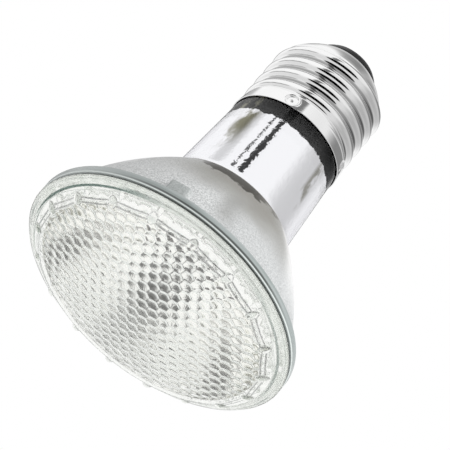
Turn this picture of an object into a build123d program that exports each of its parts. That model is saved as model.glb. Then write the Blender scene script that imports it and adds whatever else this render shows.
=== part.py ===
from build123d import *
import os
from math import atan2, cos, hypot, radians, sin, sqrt

# Reflector lamp standing on its lens: origin on the crown of the lens, +Z towards the screw cap.
# Heights are measured from the crown, and all sizes are in millimetres.

# Front lens
lamp_radius = 31.7
rim_width = 3.5
lens_dome_radius = 117.0
lens_crown_flat = 5.0
lens_field_margin = 1.6
lens_wall = 2.2
lens_depth = 7.0
lens_edge_height = 1.2
lens_edge_round = 0.7
lens_corner_inset = 0.4
edge_chamfer = 0.3

# Honeycomb of lenslets on the inside of the lens
cell_pitch = 2.72
cell_rise = 0.45
cell_lift = 0.1
cell_turn = 7.6
cell_margin = 1.5
cell_root = 1.3

# Nubs round the lens and the straight ridges between them
nub_count = 18
nub_offset = 1.2
nub_radius = 1.1
nub_length = 3.6
nub_rise = 0.8
nub_turn = 8.0
ridge_width = 0.5
ridge_rise = 0.15

# Sealing bead between lens and reflector
seal_thickness = 0.25
seal_width = 2.4
seal_inset = 0.5

# Reflector bowl and neck, pressed as one piece of glass
flange_thickness = 2.2
flange_step = 1.9
bowl_length = 21.75
bowl_end_radius = 15.5
bowl_bulge = 1.25
neck_length = 22.9
neck_step = 1.0
neck_foot_rise = 0.15
neck_wall = 2.1
neck_end_chamfer = 0.4
throat_drop = 1.0
lug_width = 4.7
lug_length = 3.6
lug_depth = 3.0
lug_inset = 1.3
lug_turn = -110.0

# Screw cap
skirt_length = 3.7
skirt_edge_radius = 13.35
skirt_top_radius = 12.75
skirt_blend = 1.0
skirt_clearance = 0.1
shell_wall = 0.3
thread_root_radius = 12.3
thread_crest_radius = 13.15
thread_width = 2.6
thread_pitch = 3.629
thread_turns = 4
thread_overlap = 0.76
thread_sink = 0.25
thread_runout = 1.3
shoulder_gap = 0.64
shoulder_rise = 5.0
shoulder_bulge = 0.65
shell_lip_radius = 8.2
punch_count = 4
punch_rise = 1.8
punch_turn = -110.4
punch_floor = 0.9
punch_flare = 1.57
punch_depth = 0.35
punch_reach = 0.7
punch_clearance = 0.15

# Insulator and end contact
insulator_clearance = 0.05
insulator_depth = 2.5
insulator_step_radius = 7.2
insulator_step_rise = 1.1
insulator_top_radius = 6.0
insulator_top_rise = 2.4
contact_radius = 4.8
contact_thickness = 0.5
contact_edge = 0.25
solder_radius = 2.2
solder_height = 0.7

# Quartz capsule, standing in the throat with its coil at the focus of the bowl
capsule_radius = 5.5
capsule_wall = 0.9
capsule_ahead = 6.5
capsule_behind = 3.5
tip_radius = 1.1
tip_length = 1.6
pinch_length = 13.5
pinch_width = 10.6
pinch_thickness = 3.4
pinch_edge = 0.5

# Filament, foils and leads
coil_length = 9.6
coil_radius = 0.8
coil_turns = 8
coil_wire = 0.26
leg_radius = 0.25
leg_bend = 0.7
leg_reach = 1.2
lead_spacing = 5.2
foil_width = 2.2
foil_length = 5.0
foil_thickness = 0.06
foil_drop = 2.0
pin_radius = 0.4
pin_end_drop = 1.1
pin_bare_end = 0.7
weld_gap = 0.05

# Ceramic holder, cement and sleeves
holder_grip = 4.5
holder_floor = 1.0
holder_clearance = 0.15
slot_clearance = 0.1
cement_width = 2.0
cement_rise = 1.7
cement_clearance = 0.05
sleeve_wall = 0.45
sleeve_clearance = 0.05

# Fuse and connecting wires
fuse_radius = 1.5
fuse_wall = 0.6
fuse_cap = 0.8
fuse_start = 1.5
fuse_length = 8.0
fuse_wire_radius = 0.2
fuse_wire_clearance = 0.05
fuse_wire_length = 11.0
wire_radius = 0.35
wire_bend = 1.5
wire_hole_clearance = 0.2
side_lead_lift = 0.4
side_lead_gap = 0.15
centre_lead_rise = 2.5
centre_lead_drop = 3.5

# Worked-out heights and radii shared by pieces that fit together
rim_inner_radius = lamp_radius - rim_width
lens_slope_radius = lamp_radius - lens_edge_round
lens_slope_height = lens_depth - lens_edge_height
lens_field_radius = rim_inner_radius - lens_field_margin
lens_inner_radius = lens_field_radius - lens_corner_inset
nub_ring_radius = lens_field_radius + nub_offset
seal_top_height = lens_depth + seal_thickness
flange_top_height = seal_top_height + flange_thickness
bowl_end_height = flange_top_height + bowl_length
neck_root_radius = bowl_end_radius - neck_step
throat_height = bowl_end_height - throat_drop
skirt_edge_height = bowl_end_height + neck_length
skirt_top_height = skirt_edge_height + skirt_length
thread_start_height = skirt_top_height - thread_overlap
thread_end_height = thread_start_height + thread_pitch * thread_turns
shoulder_height = thread_end_height + shoulder_gap
shell_lip_height = shoulder_height + shoulder_rise
insulator_inner_height = shell_lip_height - insulator_depth
insulator_top_height = shell_lip_height + insulator_top_rise
contact_height = insulator_top_height + contact_thickness
lead_x = lead_spacing / 2
dome_centre = sqrt(lens_dome_radius**2 - lens_crown_flat**2)
lens_inner_sphere = lens_dome_radius - lens_wall


def lens_outer_height(radius):
    return dome_centre - sqrt(lens_dome_radius**2 - radius**2)


def lens_inner_height(radius):
    return dome_centre - sqrt(lens_inner_sphere**2 - radius**2)


def slope_height(radius):
    start = lens_outer_height(lens_field_radius)
    share = (radius - lens_field_radius) / (lens_slope_radius - lens_field_radius)
    return start + share * (lens_slope_height - start)


def neck_radius(height):
    share = (height - bowl_end_height) / (skirt_edge_height - bowl_end_height)
    seat_radius = skirt_edge_radius - shell_wall - skirt_clearance
    return neck_root_radius + share * (seat_radius - neck_root_radius)


def bore_radius(height):
    return neck_radius(height) - neck_wall


# The mirror is a parabola from the rim to the throat: radius squared falls evenly with height
throat_radius = bore_radius(throat_height)
mirror_fall = (rim_inner_radius**2 - throat_radius**2) / (throat_height - seal_top_height)
mirror_vertex = throat_height + throat_radius**2 / mirror_fall
focus_height = mirror_vertex - mirror_fall / 4
mirror_tangent_radius = (rim_inner_radius + throat_radius) / 2
mirror_tangent_rise = rim_inner_radius * (rim_inner_radius - throat_radius) / mirror_fall

# Honeycomb lattice: centres of the cells that lie wholly inside the field
row_step = cell_pitch * sqrt(3) / 2
corner_reach = cell_pitch / sqrt(3)
cell_limit = lens_inner_radius - cell_margin
cell_rows = int(cell_limit / row_step) + 1


def turned(x, y):
    angle = radians(cell_turn)
    return (x * cos(angle) - y * sin(angle), x * sin(angle) + y * cos(angle))


cell_centres = []
for row in range(-cell_rows, cell_rows + 1):
    for column in range(-cell_rows - 1, cell_rows + 2):
        centre = turned((column + row % 2 / 2) * cell_pitch, row * row_step)
        if hypot(*centre) <= cell_limit:
            cell_centres.append(centre)


def cell_corner(centre, index):
    angle = radians(30 + 60 * index + cell_turn)
    x = centre[0] + corner_reach * cos(angle)
    y = centre[1] + corner_reach * sin(angle)
    return (round(x, 6), round(y, 6))


def lifted(point, rise):
    return Vector(point[0], point[1], lens_inner_height(hypot(*point)) + rise)


def flat_face(*corners):
    return Face(Wire.make_polygon(corners))


# The honeycomb is a slab of six-sided pyramids, rooted in the glass
facets = []
border = {}
for centre in cell_centres:
    peak = lifted(centre, cell_lift + cell_rise)
    corners = [cell_corner(centre, index) for index in range(6)]
    for first, second in zip(corners, corners[1:] + corners[:1]):
        facets.append(flat_face(lifted(first, cell_lift), lifted(second, cell_lift), peak))
        key = frozenset((first, second))
        if key in border:
            del border[key]
        else:
            border[key] = (first, second)
fan_centre = Vector(0, 0, lens_inner_height(0) - cell_root)
for first, second in border.values():
    low_first = lifted(first, -cell_root)
    low_second = lifted(second, -cell_root)
    facets.append(flat_face(low_first, low_second, lifted(second, cell_lift)))
    facets.append(flat_face(low_first, lifted(second, cell_lift), lifted(first, cell_lift)))
    facets.append(flat_face(fan_centre, low_second, low_first))
honeycomb = Solid(Shell(facets))

# A nub is a long drop of glass that lies along the slope of the rim
slope_run = lens_slope_radius - lens_field_radius
slope_rise = lens_slope_height - lens_outer_height(lens_field_radius)
slope_angle = atan2(slope_rise, slope_run)
nub_depth = (nub_radius - nub_rise) / cos(slope_angle)
nub_plane = Plane(
    (nub_ring_radius, 0, slope_height(nub_ring_radius) + nub_depth),
    x_dir=(slope_run, 0, slope_rise),
    z_dir=(0, -1, 0),
)
with BuildPart() as nub:
    with BuildSketch(nub_plane):
        with BuildLine():
            ThreePointArc((-nub_length / 2, 0), (0, nub_radius), (nub_length / 2, 0))
            Line((nub_length / 2, 0), (-nub_length / 2, 0))
        make_face()
    revolve(axis=Axis(nub_plane.origin, nub_plane.x_dir))

# Front lens: dome, sloping rim and flange, with nubs joined by straight ridges
ridge_height = slope_height(nub_ring_radius - ridge_width / 2) - ridge_rise
with BuildPart() as front_lens:
    with BuildSketch(Plane.XZ):
        with BuildLine():
            dome_edge = (lens_field_radius, lens_outer_height(lens_field_radius))
            dome_middle = (lens_field_radius / 2, lens_outer_height(lens_field_radius / 2))
            inner_edge = (lens_inner_radius, lens_inner_height(lens_inner_radius))
            inner_middle = (lens_inner_radius / 2, lens_inner_height(lens_inner_radius / 2))
            edge_drop = (lens_depth - lens_slope_height) / 2
            Line((0, 0), (lens_crown_flat, 0))
            ThreePointArc((lens_crown_flat, 0), dome_middle, dome_edge)
            Line(dome_edge, (lens_slope_radius, lens_slope_height))
            RadiusArc(
                (lens_slope_radius, lens_slope_height),
                (lamp_radius, lens_slope_height + edge_drop),
                -2 * (lamp_radius - lens_slope_radius),
            )
            Polyline(
                (lamp_radius, lens_slope_height + edge_drop),
                (lamp_radius, lens_depth - edge_chamfer),
                (lamp_radius - edge_chamfer, lens_depth),
                (rim_inner_radius, lens_depth),
                inner_edge,
            )
            ThreePointArc(inner_edge, inner_middle, (0, lens_inner_height(0)))
            Line((0, lens_inner_height(0)), (0, 0))
        make_face()
    revolve(axis=Axis.Z)
    with BuildSketch(Plane.XY.offset(ridge_height)):
        RegularPolygon(nub_ring_radius + ridge_width / 2, nub_count, rotation=nub_turn)
        RegularPolygon(nub_ring_radius - ridge_width / 2, nub_count, rotation=nub_turn, mode=Mode.SUBTRACT)
    extrude(amount=nub_radius)
    with PolarLocations(0, nub_count, start_angle=nub_turn):
        add(nub.part)
    add(honeycomb)

# Sealing bead between the two flanges
with BuildPart() as rim_seal:
    with BuildSketch(Plane.XY.offset(lens_depth)):
        Circle(lamp_radius - seal_inset)
        Circle(lamp_radius - seal_inset - seal_width, mode=Mode.SUBTRACT)
    extrude(amount=seal_thickness)

# Punch marks crimp the skirt into matching hollows in the neck
skirt_fall = (skirt_edge_radius - skirt_top_radius) / (skirt_top_height - skirt_edge_height)
punch_floor_distance = skirt_edge_radius - skirt_fall * punch_rise - punch_depth


def punch_marks(inset, mode):
    with Locations((0, 0, skirt_edge_height + punch_rise)):
        with PolarLocations(punch_floor_distance - inset, punch_count, start_angle=punch_turn):
            Cone(
                punch_floor + inset,
                punch_floor + inset + punch_flare * punch_reach,
                punch_reach,
                rotation=(0, 90, 0),
                align=(Align.CENTER, Align.CENTER, Align.MIN),
                mode=mode,
            )


# Reflector: flange, bowl and neck, with the mirror side on the inside
with BuildPart() as reflector:
    with BuildSketch(Plane.XZ):
        with BuildLine():
            bowl_root = (lamp_radius - flange_step, flange_top_height)
            bowl_end = (bowl_end_radius, bowl_end_height)
            neck_foot = (neck_root_radius, bowl_end_height + neck_foot_rise)
            neck_seat = (neck_radius(skirt_edge_height), skirt_edge_height)
            neck_end_radius = skirt_top_radius - shell_wall - skirt_clearance
            Polyline(
                (rim_inner_radius, seal_top_height),
                (lamp_radius - edge_chamfer, seal_top_height),
                (lamp_radius, seal_top_height + edge_chamfer),
                (lamp_radius, flange_top_height - edge_chamfer),
                (lamp_radius - edge_chamfer, flange_top_height),
                bowl_root,
            )
            SagittaArc(bowl_root, bowl_end, -bowl_bulge)
            Polyline(
                bowl_end,
                neck_foot,
                neck_seat,
                (neck_end_radius, skirt_top_height - neck_end_chamfer),
                (neck_end_radius - neck_end_chamfer, skirt_top_height),
                (neck_end_radius - neck_wall, skirt_top_height),
                (bore_radius(skirt_edge_height), skirt_edge_height),
                (throat_radius, throat_height),
            )
            Bezier(
                (throat_radius, throat_height),
                (mirror_tangent_radius, seal_top_height + mirror_tangent_rise),
                (rim_inner_radius, seal_top_height),
            )
        make_face()
    revolve(axis=Axis.Z)
    with Locations((0, 0, flange_top_height)):
        with PolarLocations(lamp_radius - lug_inset, 1, start_angle=lug_turn):
            Box(lug_depth, lug_width, lug_length, align=(Align.MAX, Align.CENTER, Align.MIN))
    punch_marks(shell_wall + punch_clearance, Mode.SUBTRACT)

# Screw cap: skirt, root cylinder and shoulder, with a rolled thread of even wall
thread_rise = thread_crest_radius - thread_root_radius
thread_arc = (thread_width**2 / 4 + thread_rise**2) / (2 * thread_rise)
thread_axis_radius = thread_crest_radius - thread_arc


def thread_bead(inset):
    crest = thread_crest_radius - inset
    base = thread_root_radius - inset - thread_sink
    with BuildPart() as bead:
        with BuildLine() as bead_path:
            Helix(
                thread_pitch,
                thread_pitch * thread_turns,
                thread_axis_radius,
                center=(0, 0, thread_start_height),
            )
        bead_plane = Plane(bead_path.line @ 0, x_dir=(1, 0, 0), z_dir=bead_path.line % 0)
        with BuildSketch(bead_plane):
            Circle(thread_arc - inset)
            with Locations((base - thread_axis_radius, 0)):
                Rectangle(
                    thread_arc,
                    2 * thread_arc,
                    align=(Align.MIN, Align.CENTER),
                    mode=Mode.INTERSECT,
                )
        sweep(path=bead_path.line, is_frenet=True)
        with BuildSketch(Plane.XZ):
            with BuildLine():
                Polyline(
                    (base - thread_sink, thread_start_height - thread_runout),
                    (base, thread_start_height - thread_runout),
                    (crest + thread_sink, thread_start_height),
                    (crest + thread_sink, thread_end_height),
                    (base, thread_end_height + thread_runout),
                    (base - thread_sink, thread_end_height + thread_runout),
                    close=True,
                )
            make_face()
        revolve(axis=Axis.Z, mode=Mode.INTERSECT)
    return bead.part


def shell_profile(inset):
    lip = (shell_lip_radius - inset, shell_lip_height)
    shoulder = (thread_root_radius - inset, shoulder_height)
    Polyline(
        (0, skirt_edge_height),
        (skirt_edge_radius - inset, skirt_edge_height),
        (skirt_top_radius - inset, skirt_top_height),
        (thread_root_radius - inset, skirt_top_height + skirt_blend),
        shoulder,
    )
    SagittaArc(shoulder, lip, -shoulder_bulge)
    Polyline(lip, (0, shell_lip_height), (0, skirt_edge_height))


outer_bead = thread_bead(0)
inner_bead = thread_bead(shell_wall)
with BuildPart() as shell_inside:
    with BuildSketch(Plane.XZ):
        with BuildLine():
            shell_profile(shell_wall)
        make_face()
    revolve(axis=Axis.Z)
    add(inner_bead)
    punch_marks(shell_wall, Mode.SUBTRACT)
with BuildPart() as screw_shell:
    with BuildSketch(Plane.XZ):
        with BuildLine():
            shell_profile(0)
        make_face()
    revolve(axis=Axis.Z)
    add(outer_bead)
    punch_marks(0, Mode.SUBTRACT)
    add(shell_inside.part, mode=Mode.SUBTRACT)

# Insulator: black glass that fills the shoulder of the cap and rises to the contact
wire_hole_radius = wire_radius + wire_hole_clearance
bead_radius = shell_lip_radius - shell_wall - insulator_clearance
with BuildPart() as insulator:
    with BuildSketch(Plane.XZ):
        with BuildLine():
            shell_profile(shell_wall + insulator_clearance)
        make_face()
    revolve(axis=Axis.Z)
    split(bisect_by=Plane.XY.offset(insulator_inner_height), keep=Keep.TOP)
    with BuildSketch(Plane.XZ):
        with BuildLine():
            Polyline((0, shell_lip_height), (bead_radius, shell_lip_height))
            Spline(
                (bead_radius, shell_lip_height),
                (insulator_step_radius, shell_lip_height + insulator_step_rise),
                (insulator_top_radius, insulator_top_height),
            )
            Polyline(
                (insulator_top_radius, insulator_top_height),
                (0, insulator_top_height),
                (0, shell_lip_height),
            )
        make_face()
    revolve(axis=Axis.Z)
    with Locations((0, 0, insulator_inner_height)):
        Cylinder(
            wire_hole_radius,
            insulator_top_height - insulator_inner_height,
            align=(Align.CENTER, Align.CENTER, Align.MIN),
            mode=Mode.SUBTRACT,
        )

# End contact with its solder drop
with BuildPart() as centre_contact:
    with BuildSketch(Plane.XY.offset(insulator_top_height)):
        Circle(contact_radius)
        Circle(wire_hole_radius, mode=Mode.SUBTRACT)
    extrude(amount=contact_thickness)
    fillet(centre_contact.edges().group_by(Axis.Z)[-1].sort_by(SortBy.RADIUS)[-1], contact_edge)

with BuildPart() as centre_solder:
    with BuildSketch(Plane.XZ):
        with BuildLine():
            Line((0, contact_height), (solder_radius, contact_height))
            TangentArc(
                (0, contact_height + solder_height),
                (solder_radius, contact_height),
                tangent=(1, 0),
            )
            Line((0, contact_height + solder_height), (0, contact_height))
        make_face()
    revolve(axis=Axis.Z)

# Filament: a coil on the axis of the bowl, centred on its focus
coil_front = focus_height - coil_length / 2
coil_back = focus_height + coil_length / 2
with BuildPart() as filament:
    with BuildLine() as coil_path:
        Helix(coil_length / coil_turns, coil_length, coil_radius, center=(0, 0, coil_front))
    with BuildSketch(Plane(coil_path.line @ 0, x_dir=(1, 0, 0), z_dir=coil_path.line % 0)):
        Rectangle(coil_wire, coil_wire)
    sweep(path=coil_path.line, is_frenet=True)

# Inner leads, bent from the pinch to the two ends of the coil
capsule_front = focus_height - capsule_ahead
capsule_back = focus_height + capsule_behind
pinch_height = capsule_back + pinch_length
pin_end_height = skirt_edge_height - pin_end_drop
foil_back = pinch_height - foil_drop
foil_front = foil_back - foil_length
leg_gap = coil_wire / 2 + weld_gap


def filament_leg(x, turn_height, end_height):
    with BuildPart() as leg:
        with BuildLine() as leg_path:
            FilletPolyline(
                (x, 0, foil_front),
                (x, 0, turn_height),
                (coil_radius, 0, turn_height),
                (coil_radius, 0, end_height),
                radius=leg_bend,
            )
        with BuildSketch(Plane(leg_path.line @ 0, z_dir=leg_path.line % 0)):
            Circle(leg_radius)
        sweep(path=leg_path.line)
    return leg


filament_leg_left = filament_leg(-lead_x, coil_back + leg_gap + leg_reach, coil_back + leg_gap)
filament_leg_right = filament_leg(lead_x, coil_front - leg_gap - leg_reach, coil_front - leg_gap)


# Foils sealed in the pinch, and the outer lead pins below them
def pinch_foil(x):
    with BuildPart() as foil:
        with Locations((x, 0, foil_front)):
            Box(foil_width, foil_thickness, foil_length, align=(Align.CENTER, Align.CENTER, Align.MIN))
    return foil


def rod(x, radius, start, end):
    with BuildPart() as piece:
        with Locations((x, 0, start)):
            Cylinder(radius, end - start, align=(Align.CENTER, Align.CENTER, Align.MIN))
    return piece


foil_left = pinch_foil(-lead_x)
foil_right = pinch_foil(lead_x)
lead_pin_left = rod(-lead_x, pin_radius, foil_back, pin_end_height)
lead_pin_right = rod(lead_x, pin_radius, foil_back, pin_end_height)

# Quartz capsule: tube with a domed end and exhaust tip, flattened into the pinch
capsule_bore = capsule_radius - capsule_wall
tip_joint = capsule_front - sqrt(capsule_radius**2 - tip_radius**2)
tip_front = tip_joint - tip_length
with BuildPart() as capsule_envelope:
    with BuildSketch(Plane.XZ):
        with BuildLine():
            TangentArc((0, tip_front), (tip_radius, tip_front + tip_radius), tangent=(1, 0))
            Line((tip_radius, tip_front + tip_radius), (tip_radius, tip_joint))
            TangentArc((capsule_radius, capsule_front), (tip_radius, tip_joint), tangent=(0, -1))
            Line((capsule_radius, capsule_front), (capsule_radius, capsule_back))
            TangentArc((capsule_radius, capsule_back), (0, capsule_back + capsule_radius), tangent=(0, 1))
            Line((0, capsule_back + capsule_radius), (0, tip_front))
        make_face()
    revolve(axis=Axis.Z)
    with BuildSketch(Plane.XY.offset(capsule_back)):
        RectangleRounded(pinch_width, pinch_thickness, pinch_edge)
    extrude(amount=pinch_height - capsule_back)
    with BuildSketch(Plane.XZ):
        with BuildLine():
            TangentArc((capsule_bore, capsule_front), (0, capsule_front - capsule_bore), tangent=(0, -1))
            Line((capsule_bore, capsule_front), (capsule_bore, capsule_back))
            TangentArc((capsule_bore, capsule_back), (0, capsule_back + capsule_bore), tangent=(0, 1))
            Line((0, capsule_back + capsule_bore), (0, capsule_front - capsule_bore))
        make_face()
    revolve(axis=Axis.Z, mode=Mode.SUBTRACT)
    for sealed in (foil_left, foil_right, lead_pin_left, lead_pin_right):
        add(sealed.part, mode=Mode.SUBTRACT)
    for leg in (filament_leg_left, filament_leg_right):
        add(leg.part, mode=Mode.SUBTRACT)

# Ceramic holder in the throat: a tapered disc with a slot for the pinch and holes for the pins
holder_height = pinch_height - holder_grip
holder_top_height = pinch_height + holder_floor
pin_hole_radius = pin_radius + sleeve_clearance
with BuildPart() as capsule_holder:
    with BuildSketch(Plane.XZ):
        with BuildLine():
            Polyline(
                (0, holder_height),
                (bore_radius(holder_height) - holder_clearance, holder_height),
                (bore_radius(holder_top_height) - holder_clearance, holder_top_height),
                (0, holder_top_height),
                close=True,
            )
        make_face()
    revolve(axis=Axis.Z)
    with BuildSketch(Plane.XY.offset(holder_height)):
        RectangleRounded(pinch_width + 2 * slot_clearance, pinch_thickness + 2 * slot_clearance, pinch_edge)
    extrude(amount=pinch_height - holder_height, mode=Mode.SUBTRACT)
    with Locations((-lead_x, 0, holder_top_height), (lead_x, 0, holder_top_height)):
        Hole(pin_hole_radius, depth=holder_floor)

# Cement fillet that fixes the holder in the neck
cement_top_height = holder_top_height + cement_rise
with BuildPart() as holder_cement:
    with BuildSketch(Plane.XZ):
        with BuildLine():
            Polyline(
                (bore_radius(holder_top_height) - cement_width, holder_top_height),
                (bore_radius(holder_top_height) - cement_clearance, holder_top_height),
                (bore_radius(cement_top_height) - cement_clearance, cement_top_height),
                close=True,
            )
        make_face()
    revolve(axis=Axis.Z)


# Insulating sleeves on the pins
def pin_sleeve(x):
    with BuildPart() as sleeve:
        with BuildSketch(Plane.XY.offset(holder_top_height)):
            with Locations((x, 0)):
                Circle(pin_hole_radius + sleeve_wall)
                Circle(pin_hole_radius, mode=Mode.SUBTRACT)
        extrude(amount=pin_end_height - pin_bare_end - holder_top_height)
    return sleeve


sleeve_left = pin_sleeve(-lead_x)
sleeve_right = pin_sleeve(lead_x)

# Fuse in line with the left pin: a closed glass tube round a thin wire
fuse_front = pin_end_height + fuse_start
fuse_wire_end = pin_end_height + fuse_wire_length
fuse_wire = rod(-lead_x, fuse_wire_radius, pin_end_height, fuse_wire_end)
with BuildPart() as fuse_tube:
    with Locations((-lead_x, 0, fuse_front)):
        Cylinder(fuse_radius, fuse_length, align=(Align.CENTER, Align.CENTER, Align.MIN))
        Cylinder(
            fuse_wire_radius + fuse_wire_clearance,
            fuse_length,
            align=(Align.CENTER, Align.CENTER, Align.MIN),
            mode=Mode.SUBTRACT,
        )
    with Locations((-lead_x, 0, fuse_front + fuse_cap)):
        Cylinder(
            fuse_radius - fuse_wall,
            fuse_length - 2 * fuse_cap,
            align=(Align.CENTER, Align.CENTER, Align.MIN),
            mode=Mode.SUBTRACT,
        )


# Connecting wires: to the end contact through the insulator, and to the side of the shell
def bent_wire(*points):
    with BuildPart() as wire:
        with BuildLine() as wire_path:
            FilletPolyline(*points, radius=wire_bend)
        with BuildSketch(Plane(wire_path.line @ 0, z_dir=wire_path.line % 0)):
            Circle(wire_radius)
        sweep(path=wire_path.line)
    return wire


centre_lead = bent_wire(
    (-lead_x, 0, fuse_wire_end),
    (-lead_x, 0, fuse_wire_end + centre_lead_rise),
    (0, 0, insulator_inner_height - centre_lead_drop),
    (0, 0, contact_height),
)
side_lead_height = skirt_top_height + wire_radius + side_lead_lift
side_lead_end = thread_root_radius - shell_wall - side_lead_gap
side_lead = bent_wire(
    (lead_x, 0, pin_end_height),
    (lead_x, 0, side_lead_height),
    (side_lead_end, 0, side_lead_height),
)

pieces = {
    "front_lens": front_lens,
    "rim_seal": rim_seal,
    "reflector": reflector,
    "screw_shell": screw_shell,
    "insulator": insulator,
    "centre_contact": centre_contact,
    "centre_solder": centre_solder,
    "capsule_envelope": capsule_envelope,
    "filament": filament,
    "filament_leg_left": filament_leg_left,
    "filament_leg_right": filament_leg_right,
    "foil_left": foil_left,
    "foil_right": foil_right,
    "lead_pin_left": lead_pin_left,
    "lead_pin_right": lead_pin_right,
    "capsule_holder": capsule_holder,
    "holder_cement": holder_cement,
    "sleeve_left": sleeve_left,
    "sleeve_right": sleeve_right,
    "fuse_tube": fuse_tube,
    "fuse_wire": fuse_wire,
    "centre_lead": centre_lead,
    "side_lead": side_lead,
}
os.makedirs("parts", exist_ok=True)
for name, piece in pieces.items():
    piece.part.label = name
    export_step(piece.part, f"parts/{name}.step")
    print(name, round(piece.part.volume, 2))
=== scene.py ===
import math

import bpy
from mathutils import Matrix, Vector, geometry, noise


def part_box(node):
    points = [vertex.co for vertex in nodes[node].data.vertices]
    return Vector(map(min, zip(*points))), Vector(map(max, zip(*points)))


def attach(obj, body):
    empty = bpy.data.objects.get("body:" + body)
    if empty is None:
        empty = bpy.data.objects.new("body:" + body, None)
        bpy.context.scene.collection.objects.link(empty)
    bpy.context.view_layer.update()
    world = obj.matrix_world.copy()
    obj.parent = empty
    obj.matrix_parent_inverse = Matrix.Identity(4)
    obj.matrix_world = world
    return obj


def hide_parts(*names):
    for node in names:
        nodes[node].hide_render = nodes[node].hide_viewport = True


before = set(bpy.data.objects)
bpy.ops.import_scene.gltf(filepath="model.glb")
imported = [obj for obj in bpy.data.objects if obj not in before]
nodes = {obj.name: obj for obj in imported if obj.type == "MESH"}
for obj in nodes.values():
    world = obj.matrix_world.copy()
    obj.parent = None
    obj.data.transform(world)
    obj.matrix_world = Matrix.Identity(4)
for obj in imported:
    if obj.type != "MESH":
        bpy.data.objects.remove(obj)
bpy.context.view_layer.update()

mm = 0.001
tau = math.tau


def span(node):  # largest radius, lowest and highest point of a node, in millimetres
    low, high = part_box(node)
    return high[0] / mm, low[2] / mm, high[2] / mm


rimRadius, crownHeight, lensDepth = span("front_lens")
flangeRadius, flangeLow, neckTop = span("reflector")
skirtRadius, skirtLow, lipHeight = span("screw_shell")
beadLow, beadTop = span("insulator")[1:]
contactRadius, contactLow, contactTop = span("centre_contact")
solderRadius, solderLow, solderTop = span("centre_solder")


# A socket as a Python value: an expression on it adds its Math nodes
class Wire:
    def __init__(self, paint, socket):
        self.paint = paint
        self.socket = socket

    def math(self, operation, first, second=None):
        sockets = {0: first} if second is None else {0: first, 1: second}
        return self.paint.node("Math", {"operation": operation}, sockets)

    def __add__(self, other):
        return self.math("ADD", self, other)

    def __sub__(self, other):
        return self.math("SUBTRACT", self, other)

    def __rsub__(self, other):
        return self.math("SUBTRACT", other, self)

    def __mul__(self, other):
        return self.math("MULTIPLY", self, other)

    def __abs__(self):
        return self.math("ABSOLUTE", self)

    __radd__ = __add__
    __rmul__ = __mul__

    def larger(self, other):
        return self.math("MAXIMUM", self, other)

    def out(self, name):
        return Wire(self.paint, self.socket.node.outputs[name])


# One node tree, of a material or of the world
class Paint:
    def __init__(self, owner):
        owner.use_nodes = True
        self.owner = owner
        self.tree = owner.node_tree
        self.tree.nodes.clear()

    def node(self, kind, settings, sockets, output=0):
        made = self.tree.nodes.new("ShaderNode" + kind)
        for key, value in settings.items():
            setattr(made, key, value)
        for key, value in sockets.items():
            if isinstance(value, Wire):
                self.tree.links.new(value.socket, made.inputs[key])
            else:
                made.inputs[key].default_value = value
        return Wire(self, made.outputs[output]) if made.outputs else made

    def step(self, value, low, high):  # 0 below low, 1 above high, smooth between
        settings = {"interpolation_type": "SMOOTHSTEP"}
        return self.node("MapRange", settings, {0: value, 1: low, 2: high})

    def window(self, value, middle, half, soft):  # 1 within half of the middle
        return 1 - self.step(abs(value - middle), half - soft, half + soft)

    def mixColour(self, factor, first, second):
        settings = {"data_type": "RGBA"}
        return self.node("Mix", settings, {0: factor, 6: first, 7: second}, 2)

    def place(self):
        return self.node("TexCoord", {}, {}, "Object")

    def parts(self):
        return self.node("SeparateXYZ", {}, {0: self.place()})

    def height(self):  # millimetres above the crown of the lens
        return self.parts().out("Z") * (1 / mm)

    def level(self):  # x and y
        parts = self.parts()
        return parts.out("X"), parts.out("Y")

    def away(self):  # millimetres from the axis
        x, y = self.level()
        return x.math("SQRT", x * x + y * y) * (1 / mm)

    def towards(self, way):  # millimetres from the axis along a level direction
        x, y = self.level()
        return (x * way[0] + y * way[1]) * (1 / mm)

    def turn(self):  # degrees round the axis
        x, y = self.level()
        return x.math("ARCTAN2", y, x) * (360 / tau)

    def grain(self, size, detail=3.0, roughness=0.5, stretch=None):  # noise, with its size in millimetres
        where = self.place()
        if stretch:
            where = self.node("VectorMath", {"operation": "MULTIPLY"}, {0: where, 1: stretch})
        sockets = {"Vector": where, "Scale": 1 / (size * mm), "Detail": detail, "Roughness": roughness}
        return self.node("TexNoise", {}, sockets)

    def bump(self, height, depth):  # depth in millimetres
        return self.node("Bump", {}, {"Height": height, "Strength": 1.0, "Distance": depth * mm})

    def surface(self, sockets, body=None):  # body is the tint of long ways through the glass
        ends = {"Surface": self.node("BsdfPrincipled", {}, sockets)}
        if body:
            ends["Volume"] = self.node("VolumeAbsorption", {}, body)
        self.node("OutputMaterial", {}, ends)
        return self.owner


def newPaint(name):
    return Paint(bpy.data.materials.new(name))


def rgb(red, green, blue):
    return (red, green, blue, 1.0)


print("stage 1: frame loaded")


# Mesh helpers, all in millimetres
def addPiece(name, points, faces, node, finishes=None):
    mesh = bpy.data.meshes.new(name)
    mesh.from_pydata([Vector(p) * mm for p in points], [], faces)
    mesh.validate()
    for index, polygon in enumerate(mesh.polygons):
        polygon.use_smooth = True
        polygon.material_index = finishes[index] if finishes else 0
    piece = bpy.data.objects.new(name, mesh)
    bpy.context.scene.collection.objects.link(piece)
    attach(piece, "root")
    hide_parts(node)
    return piece


def ringPoint(radius, angle, height):
    return (radius * math.cos(angle), radius * math.sin(angle), height)


def blend(value, low, high):  # smooth 0 to 1 between low and high
    share = min(max((value - low) / (high - low), 0.0), 1.0)
    return share * share * (3 - 2 * share)


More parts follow.
